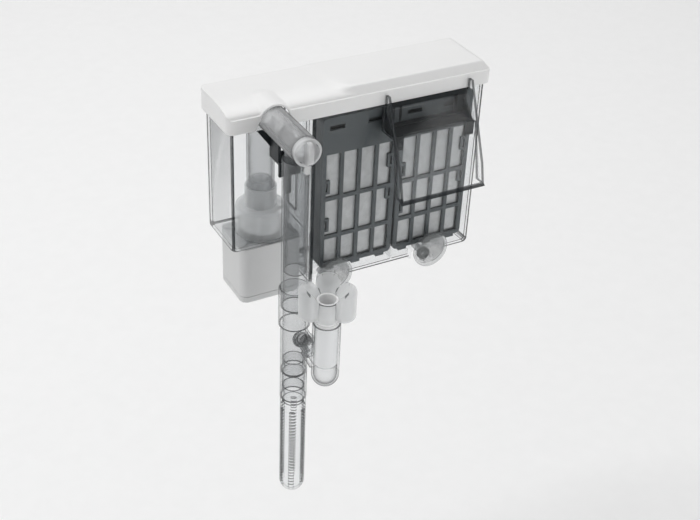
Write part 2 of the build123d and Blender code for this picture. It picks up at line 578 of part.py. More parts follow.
def make_gland():
    """Soft sleeve where the mains cord enters."""
    y = RISER_Y + MOTOR_DEEP / 2
    gland = rod_y(PIPE_X, GLAND_Z, y - 4, y + 0.5, 4.0)
    gland += rod_y(PIPE_X, GLAND_Z, y, y + 2, 5.6)
    taper = Pos(PIPE_X, y + 7, GLAND_Z) * Rot(-90, 0, 0) * Cone(4.9, 3.7, 10)
    gland += taper
    return gland - rod_y(PIPE_X, GLAND_Z, y - 5, y + 20, 2.8)


# ---------------------------------------------------------------- cartridges
def window_boxes(left, y0, y1):
    """Cut-outs of one cartridge face."""
    margin = (CART_WIDE - 3 * WINDOW_PITCH - WINDOW_WIDE) / 2
    for low, high in WINDOW_ROWS:
        for column in range(4):
            x0 = left + margin + column * WINDOW_PITCH
            yield block(x0, x0 + WINDOW_WIDE, y0, y1, low, high)


def make_half_frame(left, face, inner):
    """One half of a cartridge case: a barred face and a rim that meets the other half."""
    right = left + CART_WIDE
    y0, y1 = sorted((face, inner))
    shell = block(left, right, y0, y1, CART_BOTTOM, CART_TOP)
    shell = fillet(shell.edges().filter_by(Axis.Y), 3.5)
    towards = 1 if inner > face else -1
    hollow_from = face + towards * CART_PLATE
    h0, h1 = sorted((hollow_from, inner + towards))
    shell -= block(left + 2, right - 2, h0, h1, CART_BOTTOM + 2, WINDOW_ROWS[0][1] + 2)
    shell -= block(left + 2, right - 2, h0, h1, WINDOW_ROWS[0][1] + 4, CART_TOP - 2)
    f0, f1 = sorted((face - towards, hollow_from + towards))
    shell -= Part() + list(window_boxes(left, f0, f1))
    # finger slots in the upper panel
    for x in (left + 11.5, left + 42):
        shell -= block(x - 6, x + 6, f0, f1, 7, 10.5)
    for x in FOOT_CENTRES:
        shell += block(left + x - 3.5, left + x + 3.5, y0, y1, CART_BOTTOM - FOOT_DROP, CART_BOTTOM + 1)
    # clip tabs that stand into the outer windows
    p0, p1 = sorted((face, hollow_from))
    for low, side in ((-44.0, 0), (-60.0, 1), (-76.0, 0), (-33.0, 1)):
        x0 = left + 1 if side == 0 else right - 7.0
        shell += block(x0, x0 + 6.0, p0, p1, low, low + 11)
        inner_x = left + 3.6 if side == 0 else right - 5.0
        shell -= block(inner_x, inner_x + 1.4, p0 - 1, p1 + 1, low + 2, low + 9)
    return shell


def make_media(left, y0, y1):
    """Soft filling of one half."""
    return block(left + 2.3, left + CART_WIDE - 2.3, y0, y1, CART_BOTTOM + 2.3, WINDOW_ROWS[0][1] + 1.7)


# ---------------------------------------------------------------- levellers
def make_bracket(x):
    """Fixed fork that keeps the knurled nut in place."""
    y0, y1 = TUB_FRONT + 0.4, TUB_FRONT + POCKET_DEPTH - WALL - 0.2
    x0, x1, low = x - BRACKET_HALF, x + BRACKET_HALF, LEVEL_Z - BRACKET_HALF
    fork = block(x0, x1, y0, y1, POCKET_TOP - 0.9, POCKET_TOP)
    fork += block(x0, x1, y0, NUT_FROM - 0.2, low, POCKET_TOP)
    fork += block(x0, x1, NUT_TO + 0.2, NUT_TO + 2.2, low, POCKET_TOP)
    return fork - rod_y(x, LEVEL_Z, y0 - 1, y1 + 1, STEM_R + 0.08)


def make_nut(x):
    """Knurled thumb nut."""
    nut = rod_y(x, LEVEL_Z, NUT_FROM, NUT_TO, NUT_R)
    for i in range(18):
        notch = Pos(x, 0, LEVEL_Z) * Rot(0, 20 * i, 0) * Pos(NUT_R, (NUT_FROM + NUT_TO) / 2, 0)
        nut -= notch * Box(1.0, NUT_TO - NUT_FROM + 1, 0.8)
    return nut - rod_y(x, LEVEL_Z, NUT_FROM - 1, NUT_TO + 1, STEM_R + 0.08)


def make_pad(x):
    """Round pad that presses on the glass, with its stem."""
    pad = rod_y(x, PAD_Z, PAD_FACE, PAD_FACE + PAD_THICK, PAD_R)
    pad = fillet(pad.edges().filter_by(GeomType.CIRCLE), 0.8)
    pad -= rod_y(x, PAD_Z, PAD_FACE + PAD_THICK - 1.2, PAD_FACE + PAD_THICK + 1, PAD_R - 2.0)
    pad += rod_y(x, PAD_Z, PAD_FACE + 1, PAD_FACE + PAD_THICK, 8.6)
    pad += rod_y(x, LEVEL_Z, PAD_FACE + 1, PAD_FACE + PAD_THICK + 1.5, 4.4)
    return pad + rod_y(x, LEVEL_Z, PAD_FACE + 1, STEM_END, STEM_R)


# ---------------------------------------------------------------- assembly
def build():
    parts["tub"] = make_tub()
    parts["outlet_tray"] = make_tray()
    parts["waterfall_chute"] = make_chute()
    parts["bridge_hanger"] = make_hanger()
    parts["lid"] = make_lid()
    parts["bridge_tube"] = make_bridge()
    parts["regulator_barrel"], parts["regulator_knob"], parts["regulator_seal"] = make_regulator()
    parts["extension_tube"] = make_extension()
    parts["intake_tee"] = make_tee()
    parts["skimmer_valve"] = make_valve()
    parts["lower_tube"] = make_lower_tube()
    parts["strainer"] = make_strainer()
    parts["skimmer_tube"] = make_skimmer_tube()
    parts["skimmer_float"] = make_float()
    parts["float_crown"] = make_crown()
    parts["impeller_housing"] = make_volute()
    parts["impeller"] = make_impeller()
    parts["rotor_magnet"] = make_rotor()
    parts["impeller_shaft"] = rod(PIPE_X, RISER_Y, WELL_END + 2, VOLUTE_TOP - 2, SHAFT_R)
    parts["lower_bush"] = tube(PIPE_X, RISER_Y, WELL_END + 1.5, WELL_END + 4, 4.0, SHAFT_R + 0.01)
    parts["upper_bush"] = tube(PIPE_X, RISER_Y, VOLUTE_TOP - 3, VOLUTE_TOP - 1, 2.55, SHAFT_R + 0.01)
    parts["motor_housing"] = make_motor_housing()
    parts["motor_cap"] = make_motor_cap()
    parts["cap_screws"] = make_screws()
    parts["motor_seal"] = tube(PIPE_X, RISER_Y, BAY_FLOOR - 1.7, BAY_FLOOR - 0.02, 14.0, 12.0)
    parts["stator_core"] = make_stator()
    parts["stator_coil"] = make_coil()
    parts["cord_gland"] = make_gland()
    for side, left in CART_LEFTS.items():
        name = f"cartridge_{side}"
        parts[f"{name}_front_frame"] = make_half_frame(left, CART_FRONT, CART_MID - 0.02)
        parts[f"{name}_back_frame"] = make_half_frame(left, CART_BACK, CART_MID + 0.02)
        parts[f"{name}_floss"] = make_media(left, CART_FRONT + CART_PLATE + 0.05, CART_MID - 0.05)
        parts[f"{name}_carbon"] = make_media(left, CART_MID + 0.05, CART_BACK - CART_PLATE - 0.05)
    for side, x in LEVEL_XS.items():
        parts[f"level_bracket_{side}"] = make_bracket(x)
        parts[f"level_nut_{side}"] = make_nut(x)
        parts[f"level_pad_{side}"] = make_pad(x)


build()
os.makedirs("parts", exist_ok=True)
for node, shape in parts.items():
    export_step(shape, f"parts/{node}.step")
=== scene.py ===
"""Looks of a slim hang-on-back aquarium filter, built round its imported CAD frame."""
import json
from math import cos, radians, sin, sqrt

import bmesh
import bpy
import numpy as np
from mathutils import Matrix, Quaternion, Vector
from mathutils.bvhtree import BVHTree


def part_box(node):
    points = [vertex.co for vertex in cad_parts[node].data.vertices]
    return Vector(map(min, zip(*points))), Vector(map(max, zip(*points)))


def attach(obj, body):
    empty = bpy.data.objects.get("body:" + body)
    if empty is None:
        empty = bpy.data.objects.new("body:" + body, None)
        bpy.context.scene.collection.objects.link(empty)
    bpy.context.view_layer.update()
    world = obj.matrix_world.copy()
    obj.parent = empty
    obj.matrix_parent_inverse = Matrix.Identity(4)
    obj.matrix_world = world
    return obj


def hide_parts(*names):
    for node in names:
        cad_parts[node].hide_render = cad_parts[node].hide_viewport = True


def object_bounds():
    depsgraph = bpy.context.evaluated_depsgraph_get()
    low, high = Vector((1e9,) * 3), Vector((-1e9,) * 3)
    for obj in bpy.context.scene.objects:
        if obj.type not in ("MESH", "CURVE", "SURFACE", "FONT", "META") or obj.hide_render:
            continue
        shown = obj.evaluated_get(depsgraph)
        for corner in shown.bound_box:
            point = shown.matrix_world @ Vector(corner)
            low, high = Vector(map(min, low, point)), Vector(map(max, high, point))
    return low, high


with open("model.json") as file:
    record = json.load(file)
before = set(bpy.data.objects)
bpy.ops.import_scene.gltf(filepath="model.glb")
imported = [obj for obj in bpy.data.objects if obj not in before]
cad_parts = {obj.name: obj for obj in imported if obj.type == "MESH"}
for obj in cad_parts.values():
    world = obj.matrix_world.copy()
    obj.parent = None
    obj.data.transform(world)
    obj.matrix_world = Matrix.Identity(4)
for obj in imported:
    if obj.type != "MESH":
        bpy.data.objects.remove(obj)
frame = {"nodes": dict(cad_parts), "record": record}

MM = 0.001
CAD_LOW, CAD_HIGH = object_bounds()
CENTRE = (CAD_LOW + CAD_HIGH) / 2
scene = bpy.context.scene


# ---------------------------------------------------------------- camera, stage and light
CAMERA_YAW, CAMERA_PITCH, CAMERA_ROLL = radians(29.8), radians(33.7), radians(2.7)
CAMERA_DISTANCE = 0.90
CAMERA_LENS = 62.0
AIM = CENTRE + Vector((-0.0085, 0.010, 0.0195))
FLOOR_DROP = 0.16            # floor below the lowest point of the object

# name, direction from the object, distance, width and length of the panel, watts
LIGHTS = (("key", (-0.85, 0.30, 1.15), 1.9, (0.16, 1.3), 6.5),
          ("side", (-1.0, -0.45, 0.15), 3.0, (0.8, 2.4), 6.0),
          ("fill", (0.55, -1.0, 0.05), 3.0, (2.0, 1.6), 24.0),
          ("top", (0.1, 0.55, 1.0), 3.0, (2.4, 2.0), 35.0))
STUDIO_BRIGHT, STUDIO_DARK = 0.68, 0.36
STUDIO_DARK_SIDE = Vector((-0.25, -0.75, 0.62))


def set_camera():
    level = cos(CAMERA_PITCH)
    forward = Vector((sin(CAMERA_YAW) * level, cos(CAMERA_YAW) * level, -sin(CAMERA_PITCH)))
    data = bpy.data.cameras.new("camera")
    data.lens = CAMERA_LENS
    data.clip_start = 0.01
    camera = bpy.data.objects.new("camera", data)
    camera.rotation_mode = "QUATERNION"
    level_view = forward.to_track_quat("-Z", "Y")
    camera.rotation_quaternion = level_view @ Quaternion((0, 0, 1), CAMERA_ROLL)
    camera.location = AIM - forward * CAMERA_DISTANCE
    scene.collection.objects.link(camera)
    scene.camera = camera


def area_light(name, direction, distance, size, power):
    """Soft panel that faces the object from a direction."""
    data = bpy.data.lights.new(name, "AREA")
    data.shape = "RECTANGLE"
    data.size, data.size_y = size
    data.energy = power
    lamp = bpy.data.objects.new(name, data)
    towards = Vector(direction).normalized()
    lamp.location = CENTRE + towards * distance
    lamp.rotation_mode = "QUATERNION"
    lamp.rotation_quaternion = towards.to_track_quat("Z", "Y")
    scene.collection.objects.link(lamp)


def set_lights():
    """Four soft panels, and a studio that is darker in front of and above the object than behind it."""
    for lamp in LIGHTS:
        area_light(*lamp)
    world = bpy.data.worlds.new("studio")
    world.use_nodes = True
    tree = world.node_tree
    direction = add(tree, "ShaderNodeTexCoord").outputs["Generated"]
    front_up = add(tree, "ShaderNodeVectorMath", operation="DOT_PRODUCT")
    tree.links.new(direction, front_up.inputs[0])
    front_up.inputs[1].default_value = STUDIO_DARK_SIDE.normalized()
    strength = add(tree, "ShaderNodeMapRange", Value=front_up.outputs["Value"],
                   From_Min=0.1, From_Max=0.9, To_Min=STUDIO_BRIGHT, To_Max=STUDIO_DARK)
    background = tree.nodes["Background"]
    background.inputs["Color"].default_value = (1.0, 1.0, 1.0, 1)
    tree.links.new(strength.outputs["Result"], background.inputs["Strength"])
    scene.world = world


def set_stage():
    """Pale floor that curves up into a backdrop well behind the object."""
    floor = CAD_LOW.z - FLOOR_DROP
    bend, reach, height, half, steps = 0.8, 4.5, 3.5, 6.0, 12
    path = [(-reach, floor), (reach - bend, floor)]
    for i in range(1, steps + 1):
        a = radians(90 * i / steps)
        path.append((reach - bend + bend * sin(a), floor + bend * (1 - cos(a))))
    path.append((reach, floor + height))
    verts = [(x, y, z) for x in (-half, half) for y, z in path]
    n = len(path)
    faces = [(i, i + 1, n + i + 1, n + i) for i in range(n - 1)]
    mesh = bpy.data.meshes.new("studio_floor")
    mesh.from_pydata(verts, [], faces)
    for face in mesh.polygons:
        face.use_smooth = True
    sheet = bpy.data.objects.new("studio_floor", mesh)
    scene.collection.objects.link(sheet)
    mat, tree = new_material("paper")
    tone = ramp(tree, noise(tree, 60.0, 4.0), (0.3, (0.925, 0.925, 0.925)), (0.7, (0.94, 0.94, 0.94)))
    finish_material(tree, principled(tree, Base_Color=tone, Roughness=0.9))
    mesh.materials.append(mat)


# ---------------------------------------------------------------- node-tree helpers
def new_material(name):
    mat = bpy.data.materials.new(name)
    mat.use_nodes = True
    mat.node_tree.nodes.clear()
    return mat, mat.node_tree


def add(tree, kind, **values):
    """New node. A lower-case name sets a property, any other name sets or links that input."""
    made = tree.nodes.new(kind)
    for key, value in values.items():
        if key[0].islower():
            setattr(made, key, value)
    for key, value in values.items():
        if not key[0].islower():
            put(tree, made.inputs[key.replace("_", " ")], value)
    return made


def put(tree, socket, value):
    """Link a socket's output to an input, or set the input's own value."""
    if isinstance(value, bpy.types.NodeSocket):
        tree.links.new(value, socket)
    elif isinstance(value, tuple) and len(value) == 3 and socket.type == "RGBA":
        socket.default_value = (*value, 1.0)
    else:
        socket.default_value = value


def place(tree):
    """Position on the object, in metres."""
    return add(tree, "ShaderNodeTexCoord").outputs["Object"]


def ramp(tree, factor, *stops):
    """Colour ramp through (position, colour) stops."""
    made = add(tree, "ShaderNodeValToRGB", Fac=factor)
    elements = made.color_ramp.elements
    while len(elements) < len(stops):
        elements.new(0.5)
    for element, (position, colour) in zip(elements, stops):
        element.position = position
        element.color = (*colour, 1.0)
    return made.outputs["Color"]


def remap(tree, value, low, high):
    """Value from 0..1 stretched to low..high."""
    return add(tree, "ShaderNodeMapRange", Value=value, To_Min=low, To_Max=high).outputs["Result"]


def compute(tree, operation, first, second):
    """Result of one math node."""
    made = add(tree, "ShaderNodeMath", operation=operation)
    put(tree, made.inputs[0], first)
    put(tree, made.inputs[1], second)
    return made.outputs[0]


def noise(tree, scale, detail, vector=None):
    where = vector if vector is not None else place(tree)
    return add(tree, "ShaderNodeTexNoise", Vector=where, Scale=scale, Detail=detail).outputs["Fac"]


def bump(tree, height, distance, strength=1.0, normal=None):
    made = add(tree, "ShaderNodeBump", Height=height, Distance=distance, Strength=strength)
    if normal is not None:
        tree.links.new(normal, made.inputs["Normal"])
    return made.outputs["Normal"]


def principled(tree, **values):
    return add(tree, "ShaderNodeBsdfPrincipled", **values).outputs["BSDF"]


def mix(tree, factor, first, second):
    made = add(tree, "ShaderNodeMixShader", Fac=factor)
    tree.links.new(first, made.inputs[1])
    tree.links.new(second, made.inputs[2])
    return made.outputs["Shader"]


def finish_material(tree, surface):
    out = add(tree, "ShaderNodeOutputMaterial")
    tree.links.new(surface, out.inputs["Surface"])


def scaled(colour, k):
    """Colour made lighter or darker, no lighter than white."""
    return tuple(min(1.0, c * k) for c in colour)


# ---------------------------------------------------------------- materials
SOFT_EDGE = 0.4 * MM         # rounding that the shading gives to moulded edges
PAD_XS, PAD_Z = (-72 * MM, 12 * MM), -110 * MM
PAD_DISC_RISE, PAD_DISC_R, PAD_DISC_COVER = 1.6 * MM, 12.5 * MM, 0.42
MATERIALS = {}


def moulded(name, colour, roughness, variation, grain=0.00004, grain_scale=2600, specular=0.5):
    """Moulded plastic: fine grain, faint flow clouds, uneven gloss and softened edges."""
    mat, tree = new_material(name)
    clouds = noise(tree, 28.0, 4.0)
    tone = ramp(tree, clouds,
                (0.3, scaled(colour, 1 - variation)), (0.7, scaled(colour, 1 + variation)))
    gloss = remap(tree, noise(tree, 160.0, 5.0), roughness - 0.06, roughness + 0.08)
    edge = add(tree, "ShaderNodeBevel", samples=4, Radius=SOFT_EDGE).outputs["Normal"]
    normal = bump(tree, noise(tree, grain_scale, 2.0), grain, 0.6, edge)
    finish_material(tree, principled(tree, Base_Color=tone, Roughness=gloss, Normal=normal,
                                     Specular_IOR_Level=specular))
    return mat


def clear(name, tint, body, rim, steepness=4.0, roughness=0.05, extra=None, milky=0.0, rim_tint=None):
    """Clear plastic: a tinted film over a clear body, with a glossy skin.

    The film's cover grows from body, where a face is seen head on, to rim at the silhouette, where the
    dark film is painted shade standing in for the dark edges that refraction gives clear plastic; extra
    can add cover in places. milky is the share of the film that lets light through, and rim_tint is the
    film's colour at the silhouette.
    """
    mat, tree = new_material(name)
    facing = add(tree, "ShaderNodeLayerWeight", Blend=0.5).outputs["Facing"]
    # the film growing towards the silhouette paints shade there
    edge = compute(tree, "POWER", facing, steepness)
    streaks = remap(tree, noise(tree, 35.0, 4.0), 0.85, 1.15)
    if extra is None:
        cover = remap(tree, edge, body, rim)
    else:
        cover = compute(tree, "MAXIMUM", extra(tree), remap(tree, edge, body, rim))
    cover = compute(tree, "MULTIPLY", cover, streaks)
    window = add(tree, "ShaderNodeBsdfTransparent", Color=(0.985, 0.988, 0.99)).outputs["BSDF"]
    if rim_tint:
        tint = ramp(tree, edge, (0.15, tint), (0.6, rim_tint))
    haze = add(tree, "ShaderNodeBsdfDiffuse", Color=tint).outputs["BSDF"]
    if milky:
        lit_through = add(tree, "ShaderNodeBsdfTranslucent", Color=tint).outputs["BSDF"]
        haze = mix(tree, milky, haze, lit_through)
    scratches = remap(tree, noise(tree, 900.0, 6.0), roughness, roughness + 0.06)
    shine = add(tree, "ShaderNodeBsdfGlossy", Color=(1.0, 1.0, 1.0), Roughness=scratches)
    mirror = remap(tree, compute(tree, "POWER", facing, 5.0), 0.010, 0.55)
    body_shader = mix(tree, cover, window, haze)
    finish_material(tree, mix(tree, mirror, body_shader, shine.outputs["BSDF"]))
    return mat


def pad_film(tree):
    """Denser disc inside each leveller pad, set a little above the pad's centre."""
    where = add(tree, "ShaderNodeSeparateXYZ", Vector=place(tree)).outputs
    rise = compute(tree, "SUBTRACT", where["Z"], PAD_Z + PAD_DISC_RISE)
    nearest = None
    for x in PAD_XS:
        across = compute(tree, "SUBTRACT", where["X"], x)
        square = compute(tree, "ADD", compute(tree, "MULTIPLY", across, across),
                         compute(tree, "MULTIPLY", rise, rise))
        away = compute(tree, "SQRT", square, 0.0)
        nearest = away if nearest is None else compute(tree, "MINIMUM", nearest, away)
    inside = add(tree, "ShaderNodeMapRange", Value=nearest, To_Min=PAD_DISC_COVER, To_Max=0.0,
                 From_Min=PAD_DISC_R - 0.3 * MM, From_Max=PAD_DISC_R + 0.3 * MM)
    return inside.outputs["Result"]


def metal(name, colour, roughness):
    """Bare metal with uneven gloss."""
    mat, tree = new_material(name)
    gloss = remap(tree, noise(tree, 700.0, 5.0), roughness - 0.08, roughness + 0.12)
    normal = bump(tree, noise(tree, 2400.0, 3.0), 0.00002, 0.5)
    finish_material(tree, principled(tree, Base_Color=colour, Metallic=1.0, Roughness=gloss,
                                     Normal=normal))
    return mat


def laminated(name):
    """Steel sheets stacked along Z."""
    mat, tree = new_material(name)
    bands = add(tree, "ShaderNodeTexWave", bands_direction="Z", Vector=place(tree),
                Scale=320.0, Distortion=0.4)
    tone = ramp(tree, bands.outputs["Fac"], (0.2, (0.10, 0.10, 0.105)), (0.8, (0.32, 0.32, 0.33)))
    normal = bump(tree, bands.outputs["Fac"], 0.00015, 0.8)
    finish_material(tree, principled(tree, Base_Color=tone, Metallic=0.8, Roughness=0.5, Normal=normal))
    return mat


def wound(name):
    """Enamelled wire laid round the limb."""
    mat, tree = new_material(name)
    bands = add(tree, "ShaderNodeTexWave", bands_direction="Z", Vector=place(tree),
                Scale=500.0, Distortion=0.6)
    tone = ramp(tree, bands.outputs["Fac"], (0.1, (0.20, 0.07, 0.03)), (0.9, (0.62, 0.27, 0.12)))
    normal = bump(tree, bands.outputs["Fac"], 0.0002, 0.9)
    finish_material(tree, principled(tree, Base_Color=tone, Metallic=0.7, Roughness=0.35, Normal=normal))
    return mat


def floss(name, colour):
    """Matted fibres: stretched fine noise in two directions over soft clumps."""
    mat, tree = new_material(name)
    where = place(tree)
    along = add(tree, "ShaderNodeMapping", Vector=where, Scale=(2600.0, 400.0, 520.0)).outputs["Vector"]
    across = add(tree, "ShaderNodeMapping", Vector=where, Scale=(480.0, 400.0, 2400.0)).outputs["Vector"]
    threads = compute(tree, "MAXIMUM", noise(tree, 1.0, 4.0, along), noise(tree, 1.0, 4.0, across))
    clumps = noise(tree, 150.0, 5.0)
    height = compute(tree, "ADD", compute(tree, "MULTIPLY", threads, 0.6), clumps)
    # Tone follows the bump's height, darker where fibres and clumps sink: random tone and painted shade
    # in the hollows.
    shade = compute(tree, "MULTIPLY", height, 0.62)
    tone = ramp(tree, shade, (0.25, scaled(colour, 0.72)), (0.75, scaled(colour, 1.15)))
    normal = bump(tree, height, 0.0005, 0.8)
    finish_material(tree, principled(tree, Base_Color=tone, Roughness=0.95, Sheen_Weight=0.25,
                                     Normal=normal))
    return mat


def make_materials():
    """One material for each slot of the record, and the looks that stand in for a slot's own, some with
    painted shade and painted light on clear parts.
    """
    m = MATERIALS
    m["white_lid"] = moulded("white_plastic", (0.82, 0.82, 0.817), 0.34, 0.012, 0.00002, 3200)
    m["dark_tray"] = moulded("charcoal_plastic", (0.014, 0.017, 0.019), 0.30, 0.12, specular=0.2)
    m["slate_frame"] = moulded("slate_plastic", (0.066, 0.078, 0.083), 0.42, 0.10)
    m["pump_grey"] = moulded("pale_grey_plastic", (0.66, 0.665, 0.665), 0.45, 0.03)
    m["white_float"] = moulded("white_float_plastic", (0.97, 0.972, 0.972), 0.35, 0.02)
    m["rubber_black"] = moulded("black_rubber", (0.02, 0.02, 0.021), 0.7, 0.2, 0.00006, 1800)
    m["bush_rubber"] = moulded("grey_rubber", (0.09, 0.09, 0.09), 0.7, 0.15)
    m["ceramic"] = moulded("ceramic_rod", (0.80, 0.80, 0.77), 0.15, 0.02, 0.00001)
    m["ferrite"] = moulded("ferrite_magnet", (0.05, 0.05, 0.055), 0.5, 0.2)
    m["screw_steel"] = metal("stainless_steel", (0.62, 0.62, 0.63), 0.28)
    m["lamination_steel"] = laminated("stacked_steel")
    m["coil_copper"] = wound("wound_copper")
    m["pad_grey"] = clear("soft_grey_pad", (0.24, 0.25, 0.25), 0.20, 0.6, 3.0, 0.3, pad_film)
    m["clear_plastic"] = clear("clear_acrylic", (0.24, 0.25, 0.255), 0.018, 1.0, 5.5)
    m["smoked_tube"] = clear("smoked_tube", (0.10, 0.105, 0.11), 0.12, 1.0)
    # Pale film for the bridge tube's run over the glass: painted light on the tube's top, with painted
    # shade at its silhouettes.
    m["painted_light_tube"] = clear("painted_light_tube", (0.60, 0.605, 0.61), 0.30, 1.0, 3.0,
                             rim_tint=(0.07, 0.074, 0.078))
    m["tinted_tube"] = clear("tinted_tube", (0.24, 0.25, 0.255), 0.10, 1.0, 4.5)
    # Darker film for the skimmer's U-turn and the tee's branch: painted shade.
    m["bend_shade_film"] = clear("acrylic_bend_shade", (0.09, 0.095, 0.10), 0.05, 1.0, 2.4)
    m["thin_clear"] = clear("thin_acrylic", (0.16, 0.17, 0.175), 0.004, 1.0, 6.0)
    m["dark_glass"] = clear("dark_valve", (0.06, 0.065, 0.07), 0.28, 1.0, 2.0)
    # White film head on and black at the silhouette: painted glints and painted shade on the regulator
    # knob.
    m["glint_shade_knob"] = clear("knob_painted_glint", (0.92, 0.925, 0.93), 0.40, 1.0, 2.2,
                        rim_tint=(0.02, 0.022, 0.024))
    # Dark films for cut edges, rounded corners and the strainer's slots: painted shade standing in for
    # the dark look refraction gives them.
    m["edge_shade_film"] = clear("acrylic_edge_shade", (0.03, 0.034, 0.038), 0.72, 0.92)
    m["corner_shade_film"] = clear("acrylic_corner_shade", (0.03, 0.034, 0.037), 0.78, 0.97)
    m["slot_shade_film"] = clear("acrylic_slot_shade", (0.03, 0.033, 0.036), 0.62, 0.8)
    m["frosted_clear"] = clear("milky_acrylic", (0.88, 0.885, 0.885), 0.34, 0.75, 2.5, 0.12, milky=0.45)
    m["filter_floss"] = floss("fibre_floss", (0.64, 0.65, 0.65))
    m["carbon_pad"] = floss("carbon_pad", (0.05, 0.05, 0.055))


# ---------------------------------------------------------------- mesh helpers
def new_piece(name, verts, faces):
    """Smooth-shaded object from points and faces."""
    mesh = bpy.data.meshes.new(name)
    mesh.from_pydata([tuple(v) for v in verts], [], faces)
    mesh.validate()
    for face in mesh.polygons:
        face.use_smooth = True
    piece = bpy.data.objects.new(name, mesh)
    scene.collection.objects.link(piece)
    return piece


SLOT_OF = {s["node"]: s["material_slot"] for s in frame["record"]["subparts"]}
BODY_OF = {n: b for b, members in frame["record"]["behaviour"]["bodies"].items() for n in members}
CLEAR_SLOTS = ("clear_plastic", "frosted_clear")
PIPE_X = -119.5 * MM         # intake pipe and bridge tube
PIPE_AXIS = Vector((PIPE_X, -27.0 * MM))

# Nodes whose look differs from their slot's usual one; the regulator knob's look paints glints and shade
# on it.
LOOK_OF = {"bridge_tube": "smoked_tube", "regulator_knob": "glint_shade_knob", "skimmer_valve": "dark_glass",
           "skimmer_tube": "thin_clear", "extension_tube": "tinted_tube", "intake_tee": "tinted_tube",
           "lower_tube": "tinted_tube"}
# Places with a painted look again: painted shade at the U-turn under the skimmer and at the tee's
# branch, and a pale film of painted light on the run of the bridge tube over the glass.
PAINTED_LIGHT_PLACES = {"skimmer_tube": ("bend_shade_film", lambda at: at.z < -133 * MM),
                "intake_tee": ("bend_shade_film", lambda at: (at.xy - PIPE_AXIS).length > 11.8 * MM),
                "bridge_tube": ("painted_light_tube", lambda at: at.z > 15.5 * MM)}
PLAIN_CLEAR = ("regulator_knob", "skimmer_valve", "level_bracket_left", "level_bracket_right")

DEEP = 4.2 * MM              # plastic deeper than this behind a face makes it a rim
EDGE_ROUND = 0.35 * MM
# RIM, CORNER, SLOT and PAINTED_PLACE faces carry films of painted shade, and painted light on the bridge
# tube's run.
PLAIN, RIM, CORNER, SLOT, PAINTED_PLACE = range(5)      # material index of a face
CHAMBER_LEFT = -89 * MM      # the tub's corners right of this are seen more obliquely
RIGHT_CORNERS, BACK_CORNERS = 44 * MM, 30 * MM  # where the tub's right and back corners start


def dress(node):
    """Material from the record's slot; the CAD mesh stays as it is."""
    piece = frame["nodes"][node]
    piece.data.materials.clear()
    piece.data.materials.append(MATERIALS[SLOT_OF[node]])


def sharpest_corner(at):
    """Largest share of a face's normal along one axis for a face to count as a rounded corner, which
    gets the dark corner film of painted shade.
    """
    if at.x > RIGHT_CORNERS:
        return 0.965 if at.y < BACK_CORNERS else 0.0
    return 0.94 if at.x > CHAMBER_LEFT else 0.87


def painted_light_faces(mesh, corners, below, slots, dense):
    """Material index of each face.

    SLOT for faces turned up between the two heights in slots, RIM for cut edges of thin walls and for
    all faces lower than below, CORNER for rounded corners if asked, PAINTED_PLACE where dense says so.
    SLOT, RIM and CORNER faces get dark films of painted shade; PAINTED_PLACE faces get painted shade at
    the skimmer's U-turn and the tee's branch, and painted light on the bridge tube's run.
    """
    form = bmesh.new()
    form.from_mesh(mesh)
    tree = BVHTree.FromBMesh(form)
    form.free()
    mesh.calc_loop_triangles()
    largest = {}
    for triangle in mesh.loop_triangles:
        kept = largest.get(triangle.polygon_index)
        if kept is None or triangle.area > kept.area:
            largest[triangle.polygon_index] = triangle
    found = []
    for face in mesh.polygons:
        middle = sum((mesh.vertices[v].co for v in largest[face.index].vertices), Vector()) / 3
        behind = tree.ray_cast(middle - face.normal * 1e-5, -face.normal, 0.5)
        if slots[0] < middle.z < slots[1] and face.normal.z > 0.9:
            found.append(SLOT)
        elif behind[0] is None or behind[3] > DEEP or middle.z < below:
            found.append(RIM)
        elif corners and max(abs(c) for c in face.normal) < sharpest_corner(middle):
            found.append(CORNER)
        else:
            found.append(PAINTED_PLACE if dense and dense(middle) else PLAIN)
    return found


def soften(piece):
    """Small round along the piece's sharp edges."""
    bevel = piece.modifiers.new("round", "BEVEL")
    bevel.width = EDGE_ROUND
    bevel.segments = 2
    bevel.limit_method = "ANGLE"
    bevel.angle_limit = radians(40)
    bevel.use_clamp_overlap = True
    bevel.harden_normals = True
    for face in piece.data.polygons:
        face.use_smooth = True


def rebuilt(node, rims, corners, below, slots):
    """Copy of a clear CAD node with softly rounded edges and, if asked, films of painted shade on its
    rims, corners and slots, and the painted look of its places in PAINTED_LIGHT_PLACES.
    """
    mesh = frame["nodes"][node].data.copy()
    piece = bpy.data.objects.new(node + "_finished", mesh)
    scene.collection.objects.link(piece)
    form = bmesh.new()
    form.from_mesh(mesh)
    bmesh.ops.remove_doubles(form, verts=form.verts, dist=2e-6)
    bmesh.ops.dissolve_limit(form, angle_limit=radians(1.0), verts=form.verts, edges=form.edges)
    form.to_mesh(mesh)
    form.free()
    mesh.materials.clear()
    mesh.materials.append(MATERIALS[LOOK_OF.get(node, SLOT_OF[node])])
    if rims:
        painted_look, dense = PAINTED_LIGHT_PLACES.get(node, ("bend_shade_film", None))
        for name in ("edge_shade_film", "corner_shade_film", "slot_shade_film", painted_look):
            mesh.materials.append(MATERIALS[name])
        for face, index in zip(mesh.polygons, painted_light_faces(mesh, corners, below, slots, dense)):
            face.material_index = index
    soften(piece)
    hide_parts(node)
    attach(piece, BODY_OF[node])


